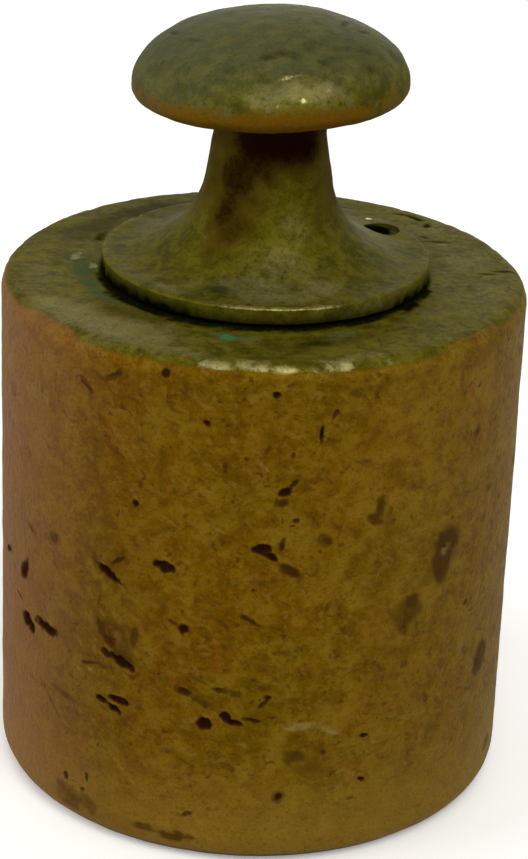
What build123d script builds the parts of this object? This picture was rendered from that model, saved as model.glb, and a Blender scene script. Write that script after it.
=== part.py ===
# One-kilogram brass calibration weight: a turned cylinder with a screwed-in mushroom knob that
# closes the adjusting chamber. Millimetres. +Z is up, the origin is the centre of the base.
import os
from math import cos, radians, tan

from build123d import *

# Body: a turned cylinder that stands on its flat base.
body_diameter = 52.0
body_height = 52.7
base_edge_radius = 2.75
top_edge_radius = 1.7

# Threaded seat of the knob, drawn as plain cylinders at the thread's outside diameter.
thread_diameter = 20.0
thread_length = 9.0
thread_clearance = 0.05
thread_relief_depth = 0.8
thread_relief_width = 1.5
spigot_end_chamfer = 1.2
bore_run_out = 2.0
bore_mouth_chamfer = 0.6

# Adjusting chamber under the thread, drilled, with lead poured into it.
chamber_diameter = 14.0
chamber_depth = 15.0
drill_point_angle = 118.0
lead_depth = 12.6
lead_clearance = 0.02
lead_meniscus = 0.6

# Flange of the knob, seated on the body's top face.
flange_diameter = 32.4
flange_thickness = 2.0
flange_top_edge_radius = 0.3
flange_seat_chamfer = 0.45
flange_least_land = 1.0

# Neck: a cone that flares into the flange below and into the head above.
neck_top_diameter = 9.9
neck_half_angle = 10.0
neck_flare_radius = 8.53
neck_head_radius = 3.0

# Head: a dome over a rolled lip, bent a little to one side on the neck.
head_diameter = 26.96
head_underside_height = 17.35
head_lip_width = 2.9
head_lip_height = 1.65
head_dome_height = 6.9
head_lean_angle = 2.2
head_lean_height = 15.6

# Dome and lip are Bezier quarters. A handle of 0.552 of the half-width draws an ellipse.
dome_fullness = 0.584
lip_fullness = 0.552

# Locking hole: drilled through the flange into the body for a soft plug, which is lost. The drill
# leans outwards, so that it passes the head.
locking_hole_diameter = 3.6
locking_hole_edge_wall = 0.5
locking_hole_azimuth = 33.0
locking_hole_lean = 12.0
locking_hole_body_depth = 4.0

body_radius = body_diameter / 2
thread_radius = thread_diameter / 2
chamber_radius = chamber_diameter / 2
flange_radius = flange_diameter / 2
head_radius = head_diameter / 2
locking_hole_radius = locking_hole_diameter / 2
locking_hole_reach = locking_hole_radius / cos(radians(locking_hole_lean))
locking_hole_offset = flange_radius - locking_hole_edge_wall - locking_hole_reach

bore_bottom = body_height - thread_length - bore_run_out
chamber_bottom = bore_bottom - chamber_depth


def drill_point_height(radius):
    """Height of the cone that a drill of this radius leaves below its full diameter."""
    return radius / tan(radians(drill_point_angle / 2))


def quarter_curve(start, end, corner, fullness):
    """Bezier quarter from start to end whose tangents meet at the corner."""
    start_handle = (
        start[0] + fullness * (corner[0] - start[0]),
        start[1] + fullness * (corner[1] - start[1]),
    )
    end_handle = (
        end[0] + fullness * (corner[0] - end[0]),
        end[1] + fullness * (corner[1] - end[1]),
    )
    return Bezier(start, start_handle, end_handle, end)


def turned(points):
    """Solid of revolution about Z from a closed outline of (radius, height) points."""
    with BuildPart() as solid:
        with BuildSketch(Plane.XZ):
            with BuildLine():
                Polyline(*points, close=True)
            make_face()
        revolve(axis=Axis.Z)
    return solid.part


def locking_drill():
    """Drill bit of the locking hole. It enters at the flange's top face, beside the head."""
    depth = (flange_thickness + locking_hole_body_depth) / cos(radians(locking_hole_lean))
    point = depth + drill_point_height(locking_hole_radius)
    bit = turned(
        [
            (0, -point),
            (locking_hole_radius, -depth),
            (locking_hole_radius, flange_thickness),
            (0, flange_thickness),
        ]
    )
    entry = (locking_hole_offset, 0, body_height + flange_thickness)
    leaned = bit.moved(Location(entry, (0, locking_hole_lean, 0)))
    return leaned.moved(Location((0, 0, 0), (0, 0, locking_hole_azimuth)))


def make_body():
    """Cylinder with rounded edges, bored for the knob's thread and for the adjusting chamber."""
    with BuildPart() as blank:
        Cylinder(body_radius, body_height, align=(Align.CENTER, Align.CENTER, Align.MIN))
        fillet(blank.edges().sort_by(Axis.Z)[0], base_edge_radius)
        fillet(blank.edges().sort_by(Axis.Z)[-1], top_edge_radius)
    bore = turned(
        [
            (0, chamber_bottom - drill_point_height(chamber_radius)),
            (chamber_radius, chamber_bottom),
            (chamber_radius, bore_bottom),
            (thread_radius, bore_bottom),
            (thread_radius, body_height - bore_mouth_chamfer),
            (thread_radius + bore_mouth_chamfer, body_height),
            (0, body_height),
        ]
    )
    return blank.part - bore - locking_drill()


def make_adjusting_lead():
    """Lead poured into the chamber, with the drill point below and a hollow set surface above."""
    lead_radius = chamber_radius - lead_clearance
    lead_top = chamber_bottom + lead_depth
    with BuildPart() as lead:
        with BuildSketch(Plane.XZ):
            with BuildLine():
                Polyline(
                    (0, lead_top - lead_meniscus),
                    (0, chamber_bottom - drill_point_height(lead_radius)),
                    (lead_radius, chamber_bottom),
                    (lead_radius, lead_top),
                )
                quarter_curve(
                    (lead_radius, lead_top),
                    (0, lead_top - lead_meniscus),
                    (lead_radius / 2, lead_top - lead_meniscus),
                    lip_fullness,
                )
            make_face()
        revolve(axis=Axis.Z)
    return lead.part


def make_shank():
    """Threaded spigot, flange and flared neck of the knob, up into the head."""
    spigot_radius = thread_radius - thread_clearance
    spigot_bottom = body_height - thread_length
    flange_top = body_height + flange_thickness
    taper = tan(radians(neck_half_angle))
    neck_height = head_underside_height - flange_thickness
    neck_foot_radius = neck_top_diameter / 2 + neck_height * taper
    flare_room = flange_radius - flange_least_land - neck_foot_radius
    widest_flare_radius = flare_room / tan(radians((90 - neck_half_angle) / 2))
    neck_end_height = body_height + head_underside_height + head_lip_height
    neck_end_radius = neck_top_diameter / 2 - head_lip_height * taper
    with BuildPart() as shank:
        with BuildSketch(Plane.XZ) as section:
            with BuildLine():
                Polyline(
                    (0, spigot_bottom),
                    (spigot_radius - spigot_end_chamfer, spigot_bottom),
                    (spigot_radius, spigot_bottom + spigot_end_chamfer),
                    (spigot_radius, body_height - thread_relief_width),
                    (spigot_radius - thread_relief_depth, body_height - thread_relief_width),
                    (spigot_radius - thread_relief_depth, body_height),
                    (flange_radius - flange_seat_chamfer, body_height),
                    (flange_radius, body_height + flange_seat_chamfer),
                    (flange_radius, flange_top),
                    (neck_foot_radius, flange_top),
                    (neck_end_radius, neck_end_height),
                    (0, neck_end_height),
                    close=True,
                )
            make_face()
            neck_foot = section.vertices().sort_by_distance((neck_foot_radius, flange_top))[0]
            fillet(neck_foot, min(neck_flare_radius, widest_flare_radius))
            rim = section.vertices().sort_by_distance((flange_radius, flange_top))[0]
            fillet(rim, flange_top_edge_radius)
        revolve(axis=Axis.Z)
    return shank.part


def make_head():
    """Dome and rolled lip of the knob, turned about its own axis and leaned towards -X."""
    underside = body_height + head_underside_height
    widest = underside + head_lip_height
    crown = widest + head_dome_height
    lip_foot_radius = head_radius - head_lip_width
    with BuildPart() as head:
        with BuildSketch(Plane.XZ):
            with BuildLine():
                Line((0, crown), (0, underside))
                Line((0, underside), (lip_foot_radius, underside))
                quarter_curve(
                    (lip_foot_radius, underside),
                    (head_radius, widest),
                    (head_radius, underside),
                    lip_fullness,
                )
                quarter_curve((head_radius, widest), (0, crown), (head_radius, crown), dome_fullness)
            make_face()
        revolve(axis=Axis.Z)
    bend = Axis((0, 0, body_height + head_lean_height), (0, 1, 0))
    return head.part.rotate(bend, -head_lean_angle)


def make_knob():
    """Knob in one piece: shank and leaned head blended together, with the locking hole."""
    shank = make_shank()
    head = make_head()
    joined = shank + head
    junction = new_edges(shank, head, combined=joined)
    return fillet(junction, neck_head_radius) - locking_drill()


os.makedirs("parts", exist_ok=True)
export_step(make_body(), "parts/body.step")
export_step(make_knob(), "parts/knob.step")
export_step(make_adjusting_lead(), "parts/adjusting_lead.step")
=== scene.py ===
import random
from math import cos, hypot, pi, radians, sin, tan

import bmesh
import bpy
import numpy as np
from mathutils import Matrix, Vector, noise


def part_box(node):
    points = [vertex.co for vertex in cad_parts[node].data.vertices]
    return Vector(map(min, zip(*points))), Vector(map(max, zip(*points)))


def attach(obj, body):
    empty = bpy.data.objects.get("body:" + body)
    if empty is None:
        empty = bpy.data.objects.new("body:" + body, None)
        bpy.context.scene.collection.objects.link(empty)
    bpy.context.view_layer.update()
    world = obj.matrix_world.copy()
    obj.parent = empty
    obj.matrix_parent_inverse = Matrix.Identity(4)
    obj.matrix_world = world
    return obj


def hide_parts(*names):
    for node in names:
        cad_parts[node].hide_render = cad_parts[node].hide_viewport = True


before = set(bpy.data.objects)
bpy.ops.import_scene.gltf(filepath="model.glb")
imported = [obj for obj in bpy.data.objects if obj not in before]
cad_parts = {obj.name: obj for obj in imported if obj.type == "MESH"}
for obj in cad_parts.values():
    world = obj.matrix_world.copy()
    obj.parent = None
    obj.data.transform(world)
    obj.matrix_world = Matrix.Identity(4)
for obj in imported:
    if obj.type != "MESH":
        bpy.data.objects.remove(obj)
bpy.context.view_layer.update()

MM = 0.001


# Studio. The weight stands on a pale sheet under soft lamps, and the camera looks down on it from
# a quarter of a metre away, with a slight roll.
camera_distance = 245.5 * MM
camera_height = 142.3 * MM
camera_tilt = radians(66.47)
camera_turn = radians(-0.12)
camera_roll = radians(2.22)

camera_data = bpy.data.cameras.new("camera")
camera_data.lens = 110.6
camera_data.sensor_width = 36
camera_data.clip_start = 0.01
camera = bpy.data.objects.new("camera", camera_data)
bpy.context.collection.objects.link(camera)
camera.matrix_world = (
    Matrix.Translation((0, -camera_distance, camera_height))
    @ Matrix.Rotation(camera_turn, 4, "Z")
    @ Matrix.Rotation(camera_tilt, 4, "X")
    @ Matrix.Rotation(camera_roll, 4, "Z")
)
bpy.context.scene.camera = camera
bpy.context.scene.view_settings.view_transform = "Standard"


class Wire:
    """A value that runs through a material, so that its maths reads as arithmetic."""

    def __init__(self, finish, socket):
        self.finish = finish
        self.socket = socket

    def maths(self, operation, *values):
        return self.finish.maths_of(operation, *values)

    def __add__(self, other):
        return self.maths("ADD", self, other)

    def __radd__(self, other):
        return self.maths("ADD", other, self)

    def __sub__(self, other):
        return self.maths("SUBTRACT", self, other)

    def __rsub__(self, other):
        return self.maths("SUBTRACT", other, self)

    def __mul__(self, other):
        return self.maths("MULTIPLY", self, other)

    def __rmul__(self, other):
        return self.maths("MULTIPLY", other, self)

    def __truediv__(self, other):
        return self.maths("DIVIDE", self, other)

    def rise(self, low, high):
        """Goes smoothly from 0 where this value is low to 1 where it is high."""
        settings = {"interpolation_type": "SMOOTHSTEP"}
        return self.finish.node("ShaderNodeMapRange", settings, self, low, high, 0.0, 1.0)


class Finish:
    """A material or a world being made, in millimetres of the object's own coordinates."""

    def __init__(self, name, shelf=bpy.data.materials):
        self.material = shelf.new(name)
        self.material.use_nodes = True
        self.tree = self.material.node_tree
        self.tree.nodes.clear()

    def node(self, kind, settings, *values, out=0, **named):
        """Adds a node, sets it, feeds its sockets by order or by name, and gives one output."""
        made = self.tree.nodes.new(kind)
        for key, value in settings.items():
            setattr(made, key, value)
        for socket, value in zip(made.inputs, values):
            self.feed(socket, value)
        for key, value in named.items():
            self.feed(made.inputs[key.replace("_", " ")], value)
        return Wire(self, made.outputs[out]) if made.outputs else None

    def feed(self, socket, value):
        if isinstance(value, Wire):
            self.tree.links.new(value.socket, socket)
        else:
            socket.default_value = value

    def place(self):
        """Object coordinates in millimetres."""
        metres = self.node("ShaderNodeTexCoord", {}, out="Object")
        return self.node("ShaderNodeVectorMath", {"operation": "SCALE"}, metres, Scale=1000.0)

    def along(self, place, axis):
        """One coordinate of a place: 0, 1 or 2."""
        return self.node("ShaderNodeSeparateXYZ", {}, place, out=axis)

    def cloud(self, place, size, detail=3.0, roughness=0.55, distortion=0.0):
        """Noise from 0 to 1 whose features are about this many millimetres across."""
        return self.node(
            "ShaderNodeTexNoise", {}, Vector=place, Scale=1.0 / size,
            Detail=detail, Roughness=roughness, Distortion=distortion,
        )

    def strokes(self, place, radius, slant, length, width, seed):
        """Noise drawn out into strokes on a round side. They fade out along the line behind."""
        across, ahead, up = (self.along(place, axis) for axis in (0, 1, 2))
        turn = self.maths_of("ARCTAN2", across, 0 - ahead)
        around = turn * radius
        lean = radians(slant)
        along = (around * cos(lean) + up * sin(lean)) / length
        aside = (up * cos(lean) - around * sin(lean)) / width
        drawn = self.node("ShaderNodeCombineXYZ", {}, along, aside, seed)
        clear_of_seam = self.maths_of("ABSOLUTE", turn).rise(3.1, 2.9)
        return self.cloud(drawn, 1.0, detail=1.0, roughness=0.5, distortion=0.5) * clear_of_seam

    def maths_of(self, operation, *values):
        return self.node("ShaderNodeMath", {"operation": operation}, *values)

    def mark(self, name):
        """A value that the modelling left on the vertices."""
        return self.node("ShaderNodeAttribute", {"attribute_name": name}, out="Fac")

    def mix(self, factor, low, high):
        """Colour that goes from low to high as the factor goes from 0 to 1."""
        made = self.tree.nodes.new("ShaderNodeMix")
        made.data_type = "RGBA"
        for socket, value in zip((made.inputs[0], made.inputs[6], made.inputs[7]), (factor, low, high)):
            self.feed(socket, value)
        return Wire(self, made.outputs[2])

    def veined(self, skin, *veins):
        """Lays colours over the skin, each where its cloud goes from one level to another."""
        for cloud, start, full, share, shade in veins:
            skin = self.mix(cloud.rise(start, full) * share, skin, colour(*shade))
        return skin

    def surface(self, bump_height=None, bump_depth=0.1, **sockets):
        """Ends the material in a Principled surface, with a bump of so many millimetres."""
        if bump_height is not None:
            sockets["Normal"] = self.node(
                "ShaderNodeBump", {}, Strength=1.0, Distance=bump_depth * MM, Height=bump_height
            )
        shader = self.node("ShaderNodeBsdfPrincipled", {}, **sockets)
        self.node("ShaderNodeOutputMaterial", {}, Surface=shader)
        return self.material


def colour(red, green, blue):
    """A colour given as it shows on a screen, from 0 to 255, as the shader's linear values."""
    def linear(value):
        share = value / 255
        return share / 12.92 if share <= 0.04045 else ((share + 0.055) / 1.055) ** 2.4
    return (linear(red), linear(green), linear(blue), 1.0)


paper = Finish("paper")
seen_by_camera = paper.node("ShaderNodeLightPath", {}, out="Is Camera Ray")
paper_glow = paper.mix(seen_by_camera, colour(0, 0, 0), colour(128, 128, 126))
paper_material = paper.surface(
    Base_Color=colour(250, 249, 246), Roughness=0.8, Emission_Color=paper_glow, Emission_Strength=1.0
)
bpy.ops.object.select_all(action="DESELECT")
bpy.ops.mesh.primitive_plane_add(size=3.0, location=(0, 0, 0))
floor = bpy.context.object
floor.name = "floor"
floor.data.materials.append(paper_material)

white = (1.0, 1.0, 1.0, 1.0)
room = Finish("studio_light", bpy.data.worlds)
bpy.context.scene.world = room.material
seen_in_metal = room.maths_of(
    "MAXIMUM",
    room.node("ShaderNodeLightPath", {}, out="Is Glossy Ray"),
    room.node("ShaderNodeLightPath", {}, out="Is Transmission Ray"),
)
seen_directly = room.node("ShaderNodeLightPath", {}, out="Is Camera Ray")
seen = room.maths_of("MAXIMUM", seen_directly, seen_in_metal)
ambient = room.node("ShaderNodeBackground", {}, Color=white, Strength=0.5)
backdrop = room.node("ShaderNodeBackground", {}, Color=white, Strength=1.0)
chosen = room.node("ShaderNodeMixShader", {}, seen, ambient, backdrop)
room.node("ShaderNodeOutputWorld", {}, Surface=chosen)


def softbox(name, place, size, power):
    """A square soft lamp that faces the middle of the weight."""
    data = bpy.data.lights.new(name, "AREA")
    data.size = size
    data.energy = power
    lamp = bpy.data.objects.new(name, data)
    bpy.context.collection.objects.link(lamp)
    lamp.location = place
    lamp.rotation_euler = (Vector((0, 0, 0.04)) - Vector(place)).to_track_quat("-Z", "Y").to_euler()


softbox("lamp_above", (0.14, -0.5, 0.62), 0.45, 3.0)
softbox("lamp_left", (-0.8, -0.15, 0.35), 0.5, 2.6)
softbox("lamp_behind", (0.1, 0.9, 0.06), 0.5, 2.2)


# Body. A cylinder of cast and turned brass, darkened by age. Its bottom edge is rounded, its top
# edge is worn, and it is bored for the knob's thread and for the lead that trims its mass.
body_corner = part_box("body")[1]
body_radius = body_corner[0]
body_height = body_corner[2]
base_edge_radius = 2.75 * MM
top_edge_radius = 1.7 * MM
thread_radius = 10 * MM
chamber_radius = 7 * MM
bore_mouth_chamfer = 0.6 * MM
bore_depth = 11 * MM
chamber_depth = 15 * MM
drill_point_angle = radians(118)
facets_around = 360
hair = 0.01 * MM


def choose(piece, kind, wanted):
    """In edit mode, selects the vertices, edges or faces that are wanted, and no others."""
    bpy.ops.mesh.select_mode(type=kind)
    bpy.ops.mesh.select_all(action="DESELECT")
    shape = bmesh.from_edit_mesh(piece.data)
    for element in {"VERT": shape.verts, "EDGE": shape.edges, "FACE": shape.faces}[kind]:
        if wanted(element):
            element.select_set(True)
    shape.select_flush_mode()
    bmesh.update_edit_mesh(piece.data)


def push(height):
    """Extrudes the selected face along Z."""
    bpy.ops.mesh.extrude_region_move(TRANSFORM_OT_translate={"value": (0, 0, height)})


def edge_at(height):
    return lambda edge: all(abs(vertex.co.z - height) < hair for vertex in edge.verts)


def steeper_than(rise):
    return lambda edge: abs(edge.verts[0].co.z - edge.verts[1].co.z) > rise


bpy.ops.object.select_all(action="DESELECT")
bpy.ops.mesh.primitive_cylinder_add(
    vertices=facets_around, radius=body_radius, depth=body_height, location=(0, 0, body_height / 2)
)
body = bpy.context.object
body.name = "worn_body"
bpy.ops.object.transform_apply(location=True)
bpy.ops.object.mode_set(mode="EDIT")
choose(body, "EDGE", edge_at(0))
bpy.ops.mesh.bevel(offset=base_edge_radius, segments=9, profile=0.5, affect="EDGES")
choose(body, "EDGE", edge_at(body_height))
bpy.ops.mesh.bevel(offset=top_edge_radius, segments=7, profile=0.5, affect="EDGES")
choose(body, "EDGE", steeper_than(10 * MM))
bpy.ops.mesh.subdivide(number_cuts=9)
choose(body, "EDGE", steeper_than(2 * MM))
bpy.ops.mesh.subdivide(number_cuts=10)

choose(body, "FACE", lambda face: len(face.verts) > 9 and face.normal.z < 0)
bpy.ops.mesh.inset(thickness=1.0 * MM)
bpy.ops.mesh.inset(thickness=8.0 * MM)
bpy.ops.mesh.poke()

top_rings = 27
seat_edge = thread_radius + bore_mouth_chamfer
ring_width = (body_radius - top_edge_radius - seat_edge) / top_rings
choose(body, "FACE", lambda face: len(face.verts) > 9 and face.normal.z > 0)
for _ in range(top_rings):
    bpy.ops.mesh.inset(thickness=ring_width)
bpy.ops.mesh.inset(thickness=bore_mouth_chamfer, depth=-bore_mouth_chamfer)
push(bore_mouth_chamfer - bore_depth)
bpy.ops.mesh.inset(thickness=thread_radius - chamber_radius)
push(-chamber_depth)
push(-chamber_radius / tan(drill_point_angle / 2))
bpy.ops.mesh.merge(type="CENTER")
bpy.ops.object.mode_set(mode="OBJECT")

# The locking hole goes through the knob's flange into the body, and its drill leaned outwards to
# pass the head. The soft plug that once filled it is lost.
flange_radius = 16.2 * MM
flange_thickness = 2 * MM
hole_radius = 1.8 * MM
hole_edge_wall = 0.5 * MM
hole_turn = radians(33)
hole_lean = radians(12)
hole_depth = (flange_thickness + 4 * MM) / cos(hole_lean)
hole_offset = flange_radius - hole_edge_wall - hole_radius / cos(hole_lean)
hole_place = Matrix.Rotation(hole_turn, 4, "Z") @ Matrix.Translation(
    (hole_offset, 0, body_height + flange_thickness)
)


def drill_locking_hole(piece):
    """Cuts the hole out of a piece with a drill that stands above it and ends in a point."""
    clear_height = 3 * MM
    drill_length = clear_height + hole_depth
    bpy.ops.object.select_all(action="DESELECT")
    bpy.ops.mesh.primitive_cylinder_add(
        vertices=48, radius=hole_radius, depth=drill_length, end_fill_type="TRIFAN",
        location=(0, 0, clear_height - drill_length / 2),
    )
    drill = bpy.context.object
    bpy.ops.object.transform_apply(location=True)
    bpy.ops.object.mode_set(mode="EDIT")
    choose(drill, "EDGE", lambda edge: edge.calc_length() > 0.9 * drill_length)
    bpy.ops.mesh.subdivide(number_cuts=27)
    choose(drill, "VERT", lambda vertex: vertex.co.z < 0 and vertex.co.xy.length < 0.1 * MM)
    bpy.ops.transform.translate(value=(0, 0, -hole_radius / tan(drill_point_angle / 2)))
    bpy.ops.object.mode_set(mode="OBJECT")
    drill.data.transform(hole_place @ Matrix.Rotation(hole_lean, 4, "Y"))
    cut = piece.modifiers.new("locking_hole", "BOOLEAN")
    cut.operation = "DIFFERENCE"
    cut.solver = "EXACT"
    cut.object = drill
    bpy.context.view_layer.objects.active = piece
    bpy.ops.object.modifier_apply(modifier=cut.name)
    bpy.data.objects.remove(drill)


drill_locking_hole(body)


class Spot:
    """An oval place on a piece, in millimetres: its centre, its two ways and its size."""

    def __init__(self, centre, around, up, length, width, slant=0):
        lean = radians(slant)
        around, up = np.array(around, float), np.array(up, float)
        self.centre = np.array(centre, float)
        self.along = around * cos(lean) + up * sin(lean)
        self.across = up * cos(lean) - around * sin(lean)
        self.out = np.cross(around, up)
        self.length = length
        self.width = width

    def distance(self, places, margin=0.0):
        """How far out each place lies, as a share of the oval's own reach: 1 on its rim."""
        offsets = places - self.centre
        far_out = np.abs(offsets @ self.out) > 0.6 * max(self.length, self.width) + margin
        distance = np.hypot(
            offsets @ self.along / (self.length / 2 + margin),
            offsets @ self.across / (self.width / 2 + margin),
        )
        return distance + 10 * far_out


def on_side(turn, height, length, width, slant=0):
    """A spot on the body's side, at this turn from the front in degrees."""
    angle, radius = radians(turn), body_radius / MM
    around, outward = (cos(angle), sin(angle), 0), (sin(angle), -cos(angle), 0)
    centre = (radius * outward[0], radius * outward[1], height)
    return Spot(centre, around, (0, 0, 1), length, width, slant)


def on_top(turn, reach, length, width, slant=0):
    """A spot on the body's top face, at this turn from the front and this far from the axis."""
    angle = radians(turn)
    around, outward = (cos(angle), sin(angle), 0), (sin(angle), -cos(angle), 0)
    inward = (-outward[0], -outward[1], 0)
    centre = (reach * outward[0], reach * outward[1], body_height / MM)
    return Spot(centre, around, inward, length, width, slant)


def fall(distance, near, far):
    """1 up to near, then smoothly down to 0 at far."""
    share = np.clip((far - distance) / (far - near), 0, 1)
    return share * share * (3 - 2 * share)


def climb(values, low, high):
    """0 up to low, then smoothly up to 1 at high."""
    return fall(-values, -high, -low)


def near_to(values, middle, near, far):
    """1 within near of the middle value, then smoothly down to 0 at far from it."""
    return fall(np.abs(values - middle), near, far)


class Brush:
    """Moves a piece's vertices as blows and corrosion did, and keeps marks for its material."""

    def __init__(self, piece, *mark_names):
        self.mesh = piece.data
        count = len(self.mesh.vertices)
        flat = np.empty(count * 3)
        self.mesh.vertices.foreach_get("co", flat)
        self.places = flat.reshape(-1, 3) / MM
        self.mesh.vertex_normals.foreach_get("vector", flat)
        self.normals = flat.reshape(-1, 3).copy()
        self.turn = np.degrees(np.arctan2(self.places[:, 0], -self.places[:, 1]))
        self.reach = np.hypot(self.places[:, 0], self.places[:, 1])
        self.height = self.places[:, 2].copy()
        self.sunk = np.zeros(count)
        self.marks = {name: np.zeros(count) for name in mark_names}

    def waves(self, size, octaves=3, near=None):
        """Uneven values about zero whose features are this many millimetres across."""
        places = self.places if near is None else self.places[near]
        return np.array([noise.fractal(Vector(place / size), 0.9, 2.0, octaves) for place in places])

    def uneven(self, spot, reach=2.4):
        """Vertices near a spot, and how far out of its ragged rim each is."""
        distance = spot.distance(self.places)
        near = np.flatnonzero(distance < reach)
        ragged = self.waves(0.35 + 0.45 * spot.width, 3, near)
        return near, distance[near] + 0.42 * ragged

    def dent(self, spot, depth, burr=0.12):
        """A pit with steep sides and a faint burr around it."""
        near, distance = self.uneven(spot)
        floor = 1 - 0.35 * np.abs(self.waves(0.4, 2, near))
        hollow = depth * fall(distance, 0.3, 1.1) * floor
        raised = burr * depth * np.exp(-(((distance - 1.3) / 0.2) ** 2))
        self.sunk[near] = np.maximum(self.sunk[near], hollow) - raised

    def press(self, spot, depth):
        """A shallow, smooth dent."""
        distance = spot.distance(self.places)
        self.sunk += depth * fall(distance, 0.0, 1.0)

    def paint(self, spot, mark, strength=1.0, near=0.6, far=1.3):
        """Leaves a mark on a spot, strongest in its middle."""
        found, distance = self.uneven(spot, far + 0.6)
        fresh = strength * fall(distance, near, far)
        self.marks[mark][found] = np.maximum(self.marks[mark][found], fresh)

    def wash(self, mark, amount):
        """Leaves a mark wherever the amount is above what is there."""
        self.marks[mark] = np.maximum(self.marks[mark], amount)

    def done(self):
        inward = np.maximum(self.sunk, 0)
        moved = (self.places - self.normals * inward[:, None]) * MM
        self.mesh.vertices.foreach_set("co", moved.ravel())
        for name, values in self.marks.items():
            attribute = self.mesh.attributes.new(name, "FLOAT", "POINT")
            attribute.data.foreach_set("value", np.clip(values, 0, 1).astype(np.float32))
        self.mesh.update()


def refine(piece, spots, margin, cuts):
    """Divides the faces of a piece that lie on the spots or within a margin round them."""
    bpy.context.view_layer.objects.active = piece
    bpy.ops.object.mode_set(mode="EDIT")
    bpy.ops.mesh.select_mode(type="FACE")
    bpy.ops.mesh.select_all(action="DESELECT")
    shape = bmesh.from_edit_mesh(piece.data)
    shape.faces.ensure_lookup_table()
    centres = np.array([face.calc_center_median() for face in shape.faces]) / MM
    near = np.zeros(len(centres), bool)
    for spot in spots:
        near |= spot.distance(centres, margin) < 1
    for index in np.flatnonzero(near):
        shape.faces[index].select_set(True)
    bmesh.update_edit_mesh(piece.data)
    bpy.ops.mesh.subdivide(number_cuts=cuts)
    bpy.ops.object.mode_set(mode="OBJECT")


# Pits in the side, gouged and corroded: turn from the front in degrees, height, length and width
# in millimetres, slant in degrees, depth in millimetres.
side_pits = [
    (-71, 25.1, 2.0, 0.8, 20, 0.3),
    (-60, 25.2, 2.6, 1.5, 60, 0.35),
    (-63, 21.6, 1.8, 0.35, -10, 0.15),
    (-59, 20.0, 2.0, 1.5, 25, 0.65),
    (-57, 19.4, 1.6, 1.2, -20, 0.6),
    (-50.5, 20.5, 3.9, 1.3, -5, 0.5),
    (-32, 29.6, 3.4, 0.95, -27, 0.55),
    (-29.5, 31.2, 1.6, 0.4, 35, 0.15),
    (-19.6, 31.9, 1.8, 0.9, 0, 0.55),
    (-18, 31.6, 1.7, 0.9, 8, 0.5),
    (-14.3, 25.5, 1.3, 1.0, -10, 0.45),
    (-16.5, 26.0, 1.5, 0.4, -25, 0.15),
    (-28.2, 20.5, 2.9, 1.1, -18, 0.6),
    (-32.3, 21.0, 1.6, 0.8, -25, 0.3),
    (-25.5, 23.5, 2.4, 1.0, 80, 0.13),
    (-33.7, 23.6, 2.4, 1.1, -60, 0.15),
    (-31.5, 22.3, 1.8, 1.0, -35, 0.2),
    (-13.5, 18.8, 1.6, 0.9, -10, 0.22),
    (-38, 19.0, 1.0, 0.4, 10, 0.2),
    (-36, 19.3, 2.2, 0.3, 12, 0.12),
    (-29, 16.3, 2.6, 0.8, -5, 0.45),
    (-33.3, 15.8, 1.3, 0.7, -20, 0.4),
    (-30, 15.2, 2.0, 0.7, -15, 0.5),
    (-9.3, 15.7, 1.9, 1.2, -10, 0.65),
    (-4.9, 16.6, 1.3, 1.0, -60, 0.55),
    (-3, 16.1, 1.9, 0.7, -10, 0.55),
    (0.9, 16.4, 1.8, 0.5, -8, 0.28),
    (3.2, 18.3, 1.9, 0.5, 50, 0.2),
    (4.0, 18.9, 0.7, 0.5, 30, 0.3),
    (-6.5, 19.5, 1.1, 0.6, 0, 0.18),
    (1.6, 34.5, 2.0, 1.2, -20, 0.65),
    (3.6, 33.8, 1.4, 0.7, -25, 0.45),
    (5.7, 34.9, 0.9, 0.4, 80, 0.2),
    (7.5, 32.4, 2.8, 0.8, -35, 0.15),
    (5.8, 40.4, 1.5, 0.8, 30, 0.4),
    (7.6, 41.3, 1.3, 0.5, 50, 0.25),
    (5.5, 39.2, 0.8, 0.6, 0, 0.14),
    (8.3, 37.5, 0.7, 0.55, 0, 0.22),
    (12.8, 46.2, 1.9, 0.4, 88, 0.35),
    (15.5, 48.0, 1.0, 0.5, 60, 0.2),
    (3.3, 50.1, 0.7, 0.7, 0, 0.35),
    (7.2, 44.2, 0.7, 0.4, 80, 0.15),
    (-2.3, 43.6, 0.5, 0.45, 0, 0.15),
    (-10.5, 46.9, 0.75, 0.65, 0, 0.35),
    (-25.5, 37.6, 0.8, 0.7, 0, 0.35),
    (-19.5, 51.2, 0.8, 0.9, 0, 0.3),
    (-0.5, 27.1, 2.5, 0.6, -28, 0.2),
    (0, 30.3, 0.5, 0.5, 0, 0.15),
    (15, 35.3, 1.2, 0.6, -30, 0.12),
    (25.6, 13.8, 0.9, 0.5, -10, 0.35),
    (25.7, 8.9, 0.9, 0.5, -30, 0.35),
    (16.4, 12.6, 0.5, 0.5, 0, 0.15),
    (7, 7.9, 0.9, 0.7, 80, 0.3),
    (-12.5, 5.4, 1.4, 0.5, 25, 0.17),
    (23.2, 7.0, 1.0, 0.5, 0, 0.12),
    (-37.3, 6.3, 1.2, 0.5, 90, 0.2),
    (-43.5, 5.3, 1.0, 0.8, 90, 0.25),
    (-38.4, 4.7, 0.6, 0.5, 0, 0.15),
    (-31, 50.0, 1.8, 0.35, 25, 0.1),
    (-38, 48.0, 2.0, 0.4, -20, 0.1),
    (53, 24.6, 1.0, 0.8, 0, 0.14),
    (53, 42.8, 1.2, 0.7, 80, 0.1),
]

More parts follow.
